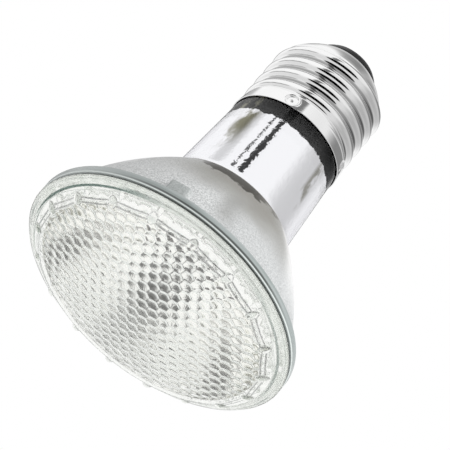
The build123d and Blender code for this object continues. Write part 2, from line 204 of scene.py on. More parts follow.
def stitch(rows, columns):  # faces of a closed tube of rings, up the outside and down the inside
    faces = []
    for row in range(rows):
        low = row * columns
        high = (row + 1) % rows * columns
        for column in range(columns):
            after = (column + 1) % columns
            faces.append((low + column, low + after, high + after, high + column))
    return faces


def arcPoints(start, bulge, end, count):  # an arc that stands out by bulge from its chord, end left out
    start, end = Vector(start), Vector(end)
    chord = end - start
    side = Vector((chord.y, -chord.x)).normalized()
    radius = (chord.length ** 2 / 4 + bulge ** 2) / (2 * abs(bulge))
    centre = (start + end) / 2 - side * math.copysign(radius - abs(bulge), bulge)
    turn = -(start - centre).angle_signed(end - centre)
    points = []
    for index in range(count):
        spoke = Matrix.Rotation(turn * index / count, 2) @ (start - centre)
        points.append(tuple(centre + spoke))
    return points


def linePoints(start, end, count):  # end left out
    start, end = Vector(start), Vector(end)
    return [tuple(start.lerp(end, index / count)) for index in range(count)]


def spread(start, end, count):  # even values, end left out
    return [value for value, _ in linePoints((start, 0), (end, 0), count)]


# Front lens: dome with a honeycomb inside, sloping rim with long nubs and straight ridges between them
lens = {
    "edgeRound": 0.7, "edgeHeight": 1.2, "edgeBulge": 0.12, "edgeChamfer": 0.3, "chamferBulge": 0.08,
    "rimWidth": 3.5, "sealGap": 0.03,
    "domeRadius": 117.0, "crownFlat": 5.0, "fieldRadius": 26.6, "wall": 2.2, "innerRadius": 26.2,
    "ringRadius": 29.35, "ringRise": 0.25, "ringSoft": 0.12, "ringReach": 0.2,  # outer ring, a little proud
    "cellPitch": 2.72, "cellTurn": 7.6, "cellRise": 0.43, "cellSteps": 6, "fieldEdge": 0.5, "fieldGap": 0.6,
    "nubCount": 18, "nubRing": 27.8, "nubRadius": 1.1, "nubLength": 3.1, "nubRise": 0.8, "nubTurn": 8.0,
    "nubFillet": 0.1, "nubFoot": 0.5, "nubLine": (0.03, 0.25),  # heights between which its flank looks dark
    "ridgeGap": 0.42, "ridgeWidth": 0.16, "ridgeRise": 0.2, "ridgeLine": 0.06, "ridgeReach": 0.75,
    "bandInner": 25.9, "bandOuter": 29.15, "columns": 648, "crowding": 0.6,
    "backRows": 5, "chamferRows": 3, "edgeRows": 8, "slopeRows": 4, "ringRows": 9,
    "endRows": 7, "ridgeRows": 26, "domeRows": 12,
}
# The third slot is dark glass along nub flanks and ridge lines: painted shade
clearFinish, backFinish, shadeLineFinish = range(3)  # material slots of the lens
slopeEnd = (rimRadius - lens["edgeRound"], lensDepth - lens["edgeHeight"])


def sphereHeight(radius, sphere):
    centre = math.sqrt(lens["domeRadius"] ** 2 - lens["crownFlat"] ** 2)
    return centre - math.sqrt(sphere ** 2 - radius ** 2)


def domeHeight(radius):
    return max(sphereHeight(radius, lens["domeRadius"]), crownHeight)


slopeStart = (lens["fieldRadius"], domeHeight(lens["fieldRadius"]))
slopeAngle = math.atan2(slopeEnd[1] - slopeStart[1], slopeEnd[0] - slopeStart[0])


def frontHeight(radius):  # dome, then slope, then the outer ring
    if radius <= slopeStart[0]:
        return domeHeight(radius)
    slope = slopeStart[1] + (radius - slopeStart[0]) * math.tan(slopeAngle)
    ring = blend(radius, lens["ringRadius"] - lens["ringSoft"], lens["ringRadius"] + lens["ringSoft"])
    return slope - lens["ringRise"] * ring


def nubLift(radius, angle):  # how far nubs and ridges stand out below the slope, and if this is their outline
    sector = tau / lens["nubCount"]
    offset = (angle - math.radians(lens["nubTurn"])) % sector
    around = lens["nubRing"] * min(offset, sector - offset)
    along = (radius - lens["nubRing"]) / math.cos(slopeAngle)
    girth = lens["nubRadius"]
    arc = (lens["nubLength"] ** 2 / 4 + girth ** 2) / (2 * girth)
    drop = math.sqrt(max(arc ** 2 - along ** 2, 0.0)) - (arc - girth)
    if around < drop:
        rise = math.sqrt(drop ** 2 - around ** 2)
    else:
        rise = -math.hypot(around, lens["nubFoot"] * along)
    rise -= girth - lens["nubRise"]
    nub = (rise + math.hypot(rise, lens["nubFillet"])) / 2
    chord = radius * math.cos(offset - sector / 2) - lens["nubRing"] * math.cos(sector / 2)
    ridge = 0.0
    for side in (-1, 1):
        gap = (chord - side * lens["ridgeGap"]) / lens["ridgeWidth"]
        ridge = max(ridge, lens["ridgeRise"] * math.exp(-2 * gap * gap))
    onRidge = ridge > lens["ridgeLine"] and nub < ridge
    onNub = lens["nubLine"][0] < nub < lens["nubLine"][1]
    return max(nub / math.cos(slopeAngle), ridge), onRidge or onNub


def pillow(x, y):  # height of a lenslet over the inner sphere of the lens
    turn = math.radians(-lens["cellTurn"])
    pitch = lens["cellPitch"]
    u = x * math.cos(turn) - y * math.sin(turn)
    v = x * math.sin(turn) + y * math.cos(turn)
    step = pitch * math.sqrt(3) / 2
    nearest = pitch ** 2
    for row in (math.floor(v / step), math.floor(v / step) + 1):
        column = round(u / pitch - row % 2 / 2)
        gap = (u - (column + row % 2 / 2) * pitch) ** 2 + (v - row * step) ** 2
        nearest = min(nearest, gap)
    return lens["cellRise"] * (1 - nearest / (pitch ** 2 / 3))


def lensAngles():  # columns crowd together at the nubs
    angles = []
    perNub = lens["columns"] // lens["nubCount"]
    for nub in range(lens["nubCount"]):
        for step in range(perNub):
            share = step / perNub - 0.5
            share -= lens["crowding"] * math.sin(tau * share) / tau
            angles.append(math.radians(lens["nubTurn"]) + tau * (nub + share) / lens["nubCount"])
    return angles


def fieldSpots():  # fine triangle lattice in line with the cells
    turn = Matrix.Rotation(math.radians(lens["cellTurn"]), 2)
    fine = lens["cellPitch"] / math.sqrt(3) / lens["cellSteps"]
    row = fine * math.sqrt(3) / 2
    count = int(lens["innerRadius"] / row) + 2
    spots = []
    for i in range(-count, count + 1):
        for j in range(-count, count + 1):
            spot = turn @ Vector((i * row, (j + i % 2 / 2) * fine))
            if spot.length < lens["innerRadius"] - lens["fieldGap"] * fine:
                spots.append(spot)
    return spots


def lensField(angles):  # points and faces of the inner face, and the ring of points round it
    columns = len(angles)
    reach = lens["innerRadius"]
    sphere = lens["domeRadius"] - lens["wall"]
    spots = fieldSpots()
    inside = len(spots)
    spots += [Vector((reach * math.cos(a), reach * math.sin(a))) for a in angles]
    edges = [(inside + i, inside + (i + 1) % columns) for i in range(columns)]
    places, _, triangles, sources, _, _ = geometry.delaunay_2d_cdt(spots, edges, [], 1, 1e-6)
    points = []
    for spot in places:
        radius = min(spot.length, reach)
        lift = pillow(spot.x, spot.y) * blend(reach - radius, 0.0, lens["fieldEdge"])
        points.append((spot.x, spot.y, sphereHeight(radius, sphere) + lift))
    newIndex = {old: new for new, group in enumerate(sources) for old in group}
    ring = [newIndex[inside + i] for i in range(columns)]
    return points, [tuple(face) for face in triangles], ring


def lensSection():  # back of the rim, round edge, slope, band with the nubs, and dome
    seat = lensDepth - lens["sealGap"]
    chamfer = (rimRadius - lens["edgeChamfer"], seat)
    side = (rimRadius, seat - lens["edgeChamfer"])
    corner = (rimRadius, lensDepth - lens["edgeHeight"] / 2)
    section = linePoints((rimRadius - lens["rimWidth"], seat), chamfer, lens["backRows"])
    section += arcPoints(chamfer, lens["chamferBulge"], side, lens["chamferRows"])
    section += arcPoints(corner, lens["edgeBulge"], slopeEnd, lens["edgeRows"])
    ridges = lens["nubRing"] * (1 + math.cos(math.pi / lens["nubCount"])) / 2
    radii = spread(slopeEnd[0], lens["ringRadius"] + lens["ringReach"], lens["slopeRows"])
    radii += spread(lens["ringRadius"] + lens["ringReach"], lens["bandOuter"], lens["ringRows"])
    radii += spread(lens["bandOuter"], ridges + lens["ridgeReach"], lens["endRows"])
    radii += spread(ridges + lens["ridgeReach"], ridges - lens["ridgeReach"], lens["ridgeRows"])
    radii += spread(ridges - lens["ridgeReach"], lens["bandInner"], lens["endRows"])
    radii += spread(lens["bandInner"], lens["crownFlat"], lens["domeRows"])
    section += [(radius, frontHeight(radius)) for radius in radii]
    return section + [(lens["crownFlat"], crownHeight)]


def buildLens():
    angles = lensAngles()
    columns = len(angles)
    points, faces, fieldRing = lensField(angles)
    finishes = [clearFinish] * len(faces)
    rings = [fieldRing]
    outlines = []
    for radius, height in lensSection():
        nubBand = height < slopeEnd[1] and lens["bandInner"] < radius < lens["bandOuter"]
        lifts = [nubLift(radius, angle) if nubBand else (0.0, False) for angle in angles]
        rings.append(list(range(len(points), len(points) + columns)))
        points += [ringPoint(radius, angle, height - lift) for angle, (lift, _) in zip(angles, lifts)]
        outlines.append([outline for _, outline in lifts])
    for row, (behind, ahead) in enumerate(zip(rings, rings[1:])):
        for i in range(columns):
            j = (i + 1) % columns
            faces.append((ahead[i], ahead[j], behind[j], behind[i]))
            finish = shadeLineFinish if outlines[row][i] else clearFinish
            finishes.append(backFinish if row <= lens["backRows"] else finish)
    faces.append(tuple(reversed(rings[-1])))
    finishes.append(clearFinish)
    return addPiece("lensGlass", points, faces, "front_lens", finishes)


lensPiece = buildLens()
print("stage 2: lens", len(lensPiece.data.polygons), "faces")

# Screw cap: skirt with punch marks, rolled thread of even wall and round shoulder
cap = {
    "skirtLength": 3.7, "skirtTopRadius": 12.75, "skirtBlend": 1.0, "blendLead": 0.2, "edgeRound": 0.07,
    "root": 12.3, "crest": 13.15, "pitch": 3.629, "overlap": 0.76, "turns": 4,
    "runout": 1.3, "runoutLead": 0.2,
    "shoulderRise": 5.0, "shoulderBulge": 0.28, "lipRadius": 8.2, "wall": 0.3, "clearance": 0.05,
    "punchCount": 4, "punchTurn": -110.4, "punchRise": 1.8, "punchRadius": 1.6, "punchFloor": 1.25,
    "punchDepth": 0.42, "punchLip": 0.06, "lipOffset": 0.2, "lipWidth": 0.25,
    "punchDot": 0.4, "dotFloor": 0.1, "dotRadius": 0.42,
    "columns": 450, "skirtRows": 38, "threadRows": 96, "shoulderRows": 20, "backRows": 32,
}
skirtTop = skirtLow + cap["skirtLength"]
threadStart = skirtTop - cap["overlap"]
threadEnd = threadStart + cap["pitch"] * cap["turns"]
shoulderHeight = lipHeight - cap["shoulderRise"]


def threadRadius(height, angle):
    along = (height - threadStart) / cap["pitch"] - angle / tau
    away = abs(along - round(along)) * cap["pitch"]
    depth, quarter = cap["crest"] - cap["root"], cap["pitch"] / 4
    arc = (quarter ** 2 + (depth / 2) ** 2) / depth  # crest and root are equal arcs that meet on the flank
    if away < quarter:
        wave = depth - arc + math.sqrt(arc ** 2 - away ** 2)
    else:
        wave = arc - math.sqrt(arc ** 2 - (2 * quarter - away) ** 2)
    rise = blend(height, threadStart - cap["runout"], threadStart + cap["runoutLead"])
    fall = blend(height, threadEnd - cap["runoutLead"], threadEnd + cap["runout"])
    return cap["root"] + wave * rise * (1 - fall)


def punchDent(height, angle):  # how far a punch mark is pressed in
    sector = 360 / cap["punchCount"]
    turn = (math.degrees(angle) - cap["punchTurn"] + sector / 2) % sector - sector / 2
    away = math.hypot(math.radians(turn) * skirtRadius, height - skirtLow - cap["punchRise"])
    dish = cap["punchDepth"] * (1 - blend(away, cap["punchFloor"], cap["punchRadius"]))
    dot = cap["punchDot"] * (1 - blend(away, cap["dotFloor"], cap["dotRadius"]))
    fromLip = (away - cap["punchRadius"] - cap["lipOffset"]) / cap["lipWidth"]
    return dish + dot - cap["punchLip"] * math.exp(-fromLip ** 2)


def capOuter(height, angle):
    share = min((height - skirtLow) / cap["skirtLength"], 1.0)
    skirt = skirtRadius + share * (cap["skirtTopRadius"] - skirtRadius)
    down = blend(height, skirtTop - cap["blendLead"], skirtTop + cap["skirtBlend"])
    body = skirt + (cap["root"] - skirt) * down
    return max(body, threadRadius(height, angle)) - punchDent(height, angle)


def buildCap():
    columns = cap["columns"]
    angles = [tau * column / columns for column in range(columns)]
    edge = skirtLow + cap["edgeRound"]
    wall = cap["wall"]
    heights = spread(edge, skirtTop, cap["skirtRows"]) + spread(skirtTop, shoulderHeight, cap["threadRows"])
    backHeights = spread(shoulderHeight, edge, cap["backRows"])[1:] + [edge]
    lip = (cap["lipRadius"], lipHeight - cap["edgeRound"])
    foot = (cap["root"], shoulderHeight)
    shoulder = arcPoints(foot, cap["shoulderBulge"], lip, cap["shoulderRows"]) + [lip]
    rows = [[(capOuter(h, a), h) for a in angles] for h in heights]
    rows += [[spot] * columns for spot in shoulder]
    rows.append([(cap["lipRadius"] - wall / 2, lipHeight)] * columns)
    rows += [[(radius - wall, height)] * columns for radius, height in reversed(shoulder)]
    rows += [[(capOuter(h, a) - wall, h) for a in angles] for h in backHeights]
    rows.append([(skirtRadius - wall + cap["edgeRound"], skirtLow)] * columns)
    rows.append([(skirtRadius - cap["edgeRound"], skirtLow)] * columns)
    points = [ringPoint(r, a, h) for row in rows for a, (r, h) in zip(angles, row)]
    return addPiece("screwCap", points, stitch(len(rows), columns), "screw_shell")


# Reflector: flange, frosted bowl and clear neck in one piece of glass, mirrored inside
bowl = {
    "rimWidth": 3.5, "flangeThickness": 2.2, "flangeStep": 1.9, "flangeRound": 0.5, "flangeBulge": 0.14,
    "rootLead": 0.3, "rootInset": 0.2, "rootRise": 0.35, "rootHollow": -0.09,
    "bowlLength": 21.75, "endRadius": 15.5, "bulge": 1.25, "endRound": 0.45, "endBulge": 0.1,
    "endDrop": 0.1, "endRise": 0.15, "neckStep": 1.0, "neckFoot": 0.25, "neckLength": 22.9, "neckWall": 2.1,
    "seatRadius": 12.95, "endTaper": 0.6, "endChamfer": 0.4, "throatDrop": 1.0,
    "lugTurn": -110.0, "lugHalf": 4.7, "lugSoft": 0.8, "lugInset": 1.3, "lugLength": 3.6, "lugTopSoft": 0.3,
    "columns": 480, "flangeRows": 4, "roundRows": 6, "bowlRows": 52, "endRows": 5, "footRows": 3,
    "neckRows": 12, "seatRows": 16, "chamferRows": 2, "boreRows": 20, "mirrorRows": 44,
}
frostedBand, neckBand = 2, 3  # places among the bands of the section
flangeTop = flangeLow + bowl["flangeThickness"]
bowlEnd = flangeTop + bowl["bowlLength"]
neckSeat = bowlEnd + bowl["neckLength"]
neckFootRadius = bowl["endRadius"] - bowl["neckStep"]
lugTop = flangeTop + bowl["lugLength"]


def boreRadius(height):
    share = (height - bowlEnd) / (neckSeat - bowlEnd)
    return neckFootRadius + share * (bowl["seatRadius"] - neckFootRadius) - bowl["neckWall"]


def lugReach(radius, angle, height):  # the lug fills the corner between flange and bowl
    turn = (math.degrees(angle) - bowl["lugTurn"] + 180) % 360 - 180
    side = 1 - blend(abs(turn), bowl["lugHalf"] - bowl["lugSoft"], bowl["lugHalf"] + bowl["lugSoft"])
    rise = 1 - blend(height, lugTop - bowl["lugTopSoft"], lugTop + bowl["lugTopSoft"])
    return radius + max(flangeRadius - bowl["lugInset"] - radius, 0.0) * side * rise


def glassBands(mouth):  # face, flange, frosted bowl and neck
    rim, low, top = flangeRadius, flangeLow, flangeTop
    soft, bulge, rows = bowl["flangeRound"], bowl["flangeBulge"], bowl["flangeRows"]
    root = rim - bowl["flangeStep"]
    rootStart = (root + bowl["rootLead"], top)
    rootEnd = (root - bowl["rootInset"], top + bowl["rootRise"])
    shoulder = (bowl["endRadius"], bowlEnd - bowl["endDrop"])
    shoulderEnd = (bowl["endRadius"] - bowl["endRound"], bowlEnd + bowl["endRise"])
    neckFoot = (neckFootRadius, bowlEnd + bowl["neckFoot"])
    seat = (bowl["seatRadius"], neckSeat)
    end = bowl["seatRadius"] - bowl["endTaper"]
    chamfer = bowl["endChamfer"]
    face = linePoints((mouth, low), (rim - soft, low), rows)
    flange = arcPoints((rim - soft, low), bulge, (rim, low + soft), bowl["roundRows"])
    flange += linePoints((rim, low + soft), (rim, top - soft), rows)
    flange += arcPoints((rim, top - soft), bulge, (rim - soft, top), bowl["roundRows"])
    flange += linePoints((rim - soft, top), rootStart, rows)
    frosted = arcPoints(rootStart, bowl["rootHollow"], rootEnd, rows)
    frosted += arcPoints(rootEnd, bowl["bulge"], shoulder, bowl["bowlRows"])
    frosted += arcPoints(shoulder, bowl["endBulge"], shoulderEnd, bowl["endRows"])
    frosted += linePoints(shoulderEnd, neckFoot, bowl["footRows"])
    neck = linePoints(neckFoot, seat, bowl["neckRows"])
    neck += linePoints(seat, (end, neckTop - chamfer), bowl["seatRows"])
    neck += linePoints((end, neckTop - chamfer), (end - chamfer, neckTop), bowl["chamferRows"])
    neck += linePoints((end - chamfer, neckTop), (end - bowl["neckWall"], neckTop), bowl["footRows"])
    return [face, flange, frosted, neck]


def mirrorBand(mouth):  # bore of the neck, then the parabola of the bowl
    throat = bowlEnd - bowl["throatDrop"]
    bore, narrow = boreRadius(throat), boreRadius(neckSeat)
    end = bowl["seatRadius"] - bowl["endTaper"] - bowl["neckWall"]
    fall = (mouth ** 2 - bore ** 2) / (throat - flangeLow)
    mirror = linePoints((end, neckTop), (narrow, neckSeat), bowl["flangeRows"])
    mirror += linePoints((narrow, neckSeat), (bore, throat), bowl["boreRows"])
    radii = spread(bore, mouth, bowl["mirrorRows"])
    return mirror + [(radius, throat - (radius ** 2 - bore ** 2) / fall) for radius in radii]


def buildReflector():
    columns = bowl["columns"]
    mouth = flangeRadius - bowl["rimWidth"]
    points = []
    finishes = []
    rows = 0
    for finish, band in enumerate(glassBands(mouth) + [mirrorBand(mouth)]):
        rows += len(band)
        for radius, height in band:
            for column in range(columns):
                angle = tau * column / columns
                out = lugReach(radius, angle, height) if finish == frostedBand else radius
                if finish == neckBand and height > skirtLow:
                    out = min(out, capOuter(height, angle) - cap["wall"] - cap["clearance"])
                points.append(ringPoint(out, angle, height))
                finishes.append(finish)
    return addPiece("reflectorGlass", points, stitch(rows, columns), "reflector", finishes)


reflectorPiece = buildReflector()
print("stage 3: reflector", len(reflectorPiece.data.polygons), "faces")
capPiece = buildCap()
print("stage 4: screw cap", len(capPiece.data.polygons), "faces")

# End of the cap: black glass bead, contact disc with a raised rim, and a drop of solder
tip = {
    "clearance": 0.05, "wireHole": 0.55, "columns": 128,
    "beadStep": 7.35, "beadStepRise": 1.1, "beadTopRadius": 6.45, "beadRound": 0.35, "seatRows": 24,
    "stepBulge": 0.08, "sideBulge": 0.1, "topBulge": 0.12,
    "contactRound": 0.2, "contactBulge": 0.06, "contactRim": 0.7, "contactSlope": 0.7, "contactDish": 0.12,
    "dishHollow": -0.05,
    "stepRows": 6, "sideRows": 8, "roundRows": 5, "topRows": 4, "rimRows": 2, "floorRows": 3,
    "solderRings": 16, "solderWobble": 0.12, "wobbleScale": 2.2, "wobbleRing": 0.5, "wobbleShift": 0.25,
}


def lathe(name, section, node):
    columns = tip["columns"]
    points = [ringPoint(r, tau * c / columns, h) for r, h in section for c in range(columns)]
    return addPiece(name, points, stitch(len(section), columns), node)


def buildBead():
    inset = cap["wall"] + tip["clearance"]
    hole = tip["wireHole"]
    start = (cap["root"] - inset, shoulderHeight)
    lip = (cap["lipRadius"] - inset, lipHeight)
    step = (tip["beadStep"], lipHeight + tip["beadStepRise"])
    top = (tip["beadTopRadius"], beadTop - tip["beadRound"])
    topEnd = (tip["beadTopRadius"] - tip["beadRound"], beadTop)
    shoulder = arcPoints(start, cap["shoulderBulge"], lip, tip["seatRows"])
    inner = [spot for spot in shoulder if spot[1] > beadLow]
    section = [(hole, beadLow), (inner[0][0], beadLow)] + inner[1:]
    section += arcPoints(lip, tip["stepBulge"], step, tip["stepRows"])
    section += arcPoints(step, tip["sideBulge"], top, tip["sideRows"])
    section += arcPoints(top, tip["topBulge"], topEnd, tip["roundRows"])
    section += linePoints(topEnd, (hole, beadTop), tip["topRows"]) + [(hole, beadTop)]
    return lathe("blackBead", section, "insulator")


def buildContact():
    soft = tip["contactRound"]
    hole = tip["wireHole"]
    floor = contactTop - tip["contactDish"]
    side = (contactRadius, contactTop - soft)
    roundEnd = (contactRadius - soft, contactTop)
    rim = (contactRadius - tip["contactRim"], contactTop)
    dish = (rim[0] - tip["contactSlope"], floor)
    section = [(hole, contactLow), (contactRadius, contactLow)]
    section += arcPoints(side, tip["contactBulge"], roundEnd, tip["roundRows"])
    section += linePoints(roundEnd, rim, tip["rimRows"])
    section += arcPoints(rim, tip["dishHollow"], dish, tip["roundRows"])
    section += linePoints(dish, (hole, floor), tip["floorRows"]) + [(hole, floor)]
    return lathe("contactDisc", section, "centre_contact")


def buildSolder():
    columns, rings = tip["columns"], tip["solderRings"]
    low = solderLow - tip["contactDish"]
    points = []
    for ring in range(rings):
        share = ring / rings
        radius = solderRadius * math.cos(share * tau / 4)
        height = low + (solderTop - low) * math.sin(share * tau / 4)
        for column in range(columns):
            angle = tau * column / columns
            spot = Vector(ringPoint(tip["wobbleRing"], angle, share)) * tip["wobbleScale"]
            wobble = 1 + tip["solderWobble"] * (noise.noise(spot) - tip["wobbleShift"])
            points.append(ringPoint(radius * min(wobble, 1.0), angle, height))
    points.append((0, 0, solderTop))
    faces = [face for face in stitch(rings, columns) if max(face) - min(face) < 2 * columns]
    last = (rings - 1) * columns
    faces += [(last + c, last + (c + 1) % columns, rings * columns) for c in range(columns)]
    faces.append(tuple(reversed(range(columns))))
    return addPiece("solderDrop", points, faces, "centre_solder")


beadPiece = buildBead()
contactPiece = buildContact()
solderPiece = buildSolder()
print("stage 5: end of the cap")

# Settings of the finishes: a step is its start and end, a window its middle, half width and softness.
# Sizes are in millimetres and turns in degrees.

# Clear glass with a slight wave and a few hazy spots
pressed = {
    "waveSize": 6.0, "waveShare": 0.5, "white": rgb(1.0, 1.0, 1.0), "hazeSize": 1.5, "hazeRange": (0.62, 0.8),
}


def pressedGlass(name, tint, haze, waveDepth, ior=1.5, body=None):
    paint = newPaint(name)
    wave = paint.grain(pressed["waveSize"], 2.0)
    colour = paint.mixColour(wave * pressed["waveShare"], tint, pressed["white"])
    spots = paint.step(paint.grain(pressed["hazeSize"], 4.0), *pressed["hazeRange"])
    sockets = {"Base Color": colour, "Roughness": spots * haze, "IOR": ior, "Transmission Weight": 1.0}
    return paint.surface({**sockets, "Normal": paint.bump(wave, waveDepth)}, body)


# Thick edge of the flange: a pale green ring with fine moulded lines; a dark seam at the lens, deepened by
# painted shade on the near side, a painted highlight line, a band of painted shade on the near side, and
# painted light that makes the far side paler
brim = {
    "lineSize": 0.5, "lineStretch": (0.02, 0.02, 1.0), "lineRange": (0.3, 0.7), "lineDepth": 0.03,
    "deep": rgb(0.24, 0.275, 0.265), "pale": rgb(0.36, 0.395, 0.39),
    "cloudSize": 9.0, "cloudShare": 0.3, "cloud": rgb(0.5, 0.54, 0.54),
    "shadeTurn": (-90.0, 38.0, 16.0),
    "seamRise": (0.08, 0.18), "seamShare": 0.35, "seamShade": 0.55, "seamAndShade": rgb(0.08, 0.09, 0.085),
    "highlightRise": (0.33, 0.13, 0.07), "light": rgb(0.74, 0.79, 0.77),
    "shadeBandRise": (0.72, 0.24, 0.12), "shadeBandShare": 0.9, "dark": rgb(0.045, 0.052, 0.047),
    "nearAim": (0.45, -0.89), "nearReach": (-5.0, 30.0), "farShare": 0.3, "far": rgb(0.66, 0.7, 0.69),
    "roughness": 0.12, "unevenness": 0.1,
}


def flangeGlass():
    paint = newPaint("flangeGlass")
    rise = paint.height() - flangeLow
    lines = paint.grain(brim["lineSize"], 2.0, 0.5, brim["lineStretch"])
    cloud = paint.grain(brim["cloudSize"])
    nearSide = paint.step(paint.towards(brim["nearAim"]), *brim["nearReach"])
    shaded = paint.window(paint.turn(), *brim["shadeTurn"])
    # dark joint at the lens, made darker on the near side by painted shade
    seamAndShade = 1 - paint.step(rise, *brim["seamRise"])
    # painted highlight: a thin bright line
    light = paint.window(rise, *brim["highlightRise"])
    # band of painted shade, used on the near side only
    dark = paint.window(rise, *brim["shadeBandRise"])
    colour = paint.mixColour(paint.step(lines, *brim["lineRange"]), brim["deep"], brim["pale"])
    colour = paint.mixColour(cloud * brim["cloudShare"], colour, brim["cloud"])
    colour = paint.mixColour(seamAndShade * (brim["seamShare"] + shaded * brim["seamShade"]), colour, brim["seamAndShade"])
    colour = paint.mixColour(light, colour, brim["light"])
    colour = paint.mixColour(dark * shaded * brim["shadeBandShare"], colour, brim["dark"])
    # painted light: the far side paler
    colour = paint.mixColour((1 - nearSide) * brim["farShare"], colour, brim["far"])
    sockets = {"Base Color": colour, "Roughness": brim["roughness"] + cloud * brim["unevenness"]}
    return paint.surface({**sockets, "Normal": paint.bump(lines, brim["lineDepth"])})


# Sealing bead: pale under the lens, dark where it shows at the seam
seal = {
    "cloudSize": 2.5, "deep": rgb(0.7, 0.75, 0.73), "pale": rgb(0.86, 0.88, 0.87),
    "darkInset": (0.9, 0.6), "dark": rgb(0.07, 0.085, 0.075), "roughness": 0.4, "unevenness": 0.15,
}


def sealBead():
    paint = newPaint("sealBead")
    cloud = paint.grain(seal["cloudSize"], 4.0)
    start, end = seal["darkInset"]
    outer = paint.step(paint.away(), rimRadius - start, rimRadius - end)
    colour = paint.mixColour(cloud, seal["deep"], seal["pale"])
    colour = paint.mixColour(outer, colour, seal["dark"])
    return paint.surface({"Base Color": colour, "Roughness": seal["roughness"] + cloud * seal["unevenness"]})


# Ground back of the lens rim, seen through the slope, with a faint green groove that painted shade makes dark
# at two sides
ground = {
    "cloudSize": 3.0, "deep": rgb(0.975, 0.978, 0.962), "pale": rgb(0.998, 0.998, 0.99),
    "leftAim": (-0.94, -0.34), "leftReach": (16.0, 27.0),
    "rightAim": (0.91, -0.42), "rightReach": (21.0, 29.0), "rightShare": 0.55,
    "grooveAway": (28.75, 0.3, 0.1), "grooveShare": 0.1, "grooveSide": 0.85, "grooveAndShade": rgb(0.13, 0.2, 0.18),
    "lineAway": (30.2, 0.1, 0.06), "lineShare": 0.6, "line": rgb(0.3, 0.36, 0.34),
    "roughness": 0.08, "unevenness": 0.05,
}


def rimBack():
    paint = newPaint("rimBack")
    cloud = paint.grain(ground["cloudSize"])
    away = paint.away()
    # Left and right sides, where painted shade darkens the groove
    left = paint.step(paint.towards(ground["leftAim"]), *ground["leftReach"])
    right = paint.step(paint.towards(ground["rightAim"]), *ground["rightReach"]) * ground["rightShare"]
    grooveAndShade = paint.window(away, *ground["grooveAway"])
    grooveAndShade = grooveAndShade * (ground["grooveShare"] + left.larger(right) * ground["grooveSide"])
    line = paint.window(away, *ground["lineAway"]) * ground["lineShare"]
    colour = paint.mixColour(cloud, ground["deep"], ground["pale"])
    colour = paint.mixColour(grooveAndShade, colour, ground["grooveAndShade"])
    colour = paint.mixColour(line, colour, ground["line"])
    roughness = ground["roughness"] + cloud * ground["unevenness"]
    return paint.surface({"Base Color": colour, "Metallic": 1.0, "Roughness": roughness})


# Mirror coating on the face that meets the lens
silvered = {
    "cloudSize": 2.5, "deep": rgb(0.82, 0.85, 0.84), "pale": rgb(0.95, 0.96, 0.95),
    "metallic": 0.4, "roughness": 0.35, "unevenness": 0.15,
}


def rimSilver():
    paint = newPaint("rimSilver")
    cloud = paint.grain(silvered["cloudSize"], 4.0)
    colour = paint.mixColour(cloud, silvered["deep"], silvered["pale"])
    roughness = silvered["roughness"] + cloud * silvered["unevenness"]
    return paint.surface({"Base Color": colour, "Metallic": silvered["metallic"], "Roughness": roughness})


# Frosted outside of the bowl: sparkling grain, painted shade on one side, painted light at both sides, a
# painted dark reflection patch and stripe facing the near side, a dark brown band beside the neck deepened by
# painted shade on the near side, and a painted shade ring where the bowl meets the neck
frost = {
    "grainSize": 0.33, "grainRange": (0.3, 0.7), "grainDepth": 0.02, "cloudSize": 7.0,
    "dark": rgb(0.43, 0.44, 0.44), "light": rgb(0.78, 0.79, 0.79),
    "shadeTurn": (-100.0, -84.0), "shadeShare": 0.35, "shade": rgb(0.4, 0.41, 0.415),
    "rightTurn": (-54.0, -42.0), "leftTurn": (-150.0, -142.0), "brightHeight": (11.0, 25.0),
    "brightDark": rgb(0.78, 0.785, 0.785), "brightLight": rgb(0.96, 0.965, 0.965),
    "thinTurn": (-88.0, 40.0, 22.0), "thinHeight": (14.5, 26.5), "cloudReach": 7.0, "grainReach": 9.0,
    "thinShare": 0.85, "thin": rgb(0.24, 0.23, 0.205),
    "stripeTurn": (-90.0, 4.0, 4.0), "stripeHeight": (17.0, 5.0, 3.0),
    "stripeShare": 0.6, "stripe": rgb(0.3, 0.3, 0.29),
    "nearTurn": (-99.0, 24.0, 10.0), "nearReach": 2.8, "ragSize": 2.0, "ragReach": 6.0,
    "brownTurn": (-97.0, 43.0, 9.0), "brownDrop": (1.5, 0.9), "brownShare": 0.45, "nearShade": 0.5,
    "brownBand": rgb(0.03, 0.026, 0.018),
    "endDrop": 0.4, "endShare": 0.4, "end": rgb(0.5, 0.49, 0.47),
    "lugSoft": 1.2, "lugTopSoft": 0.4, "lugShare": 0.6, "lug": rgb(0.33, 0.36, 0.35),
    "shine": 0.12, "roughness": 0.4, "lugSmooth": 0.15,
}


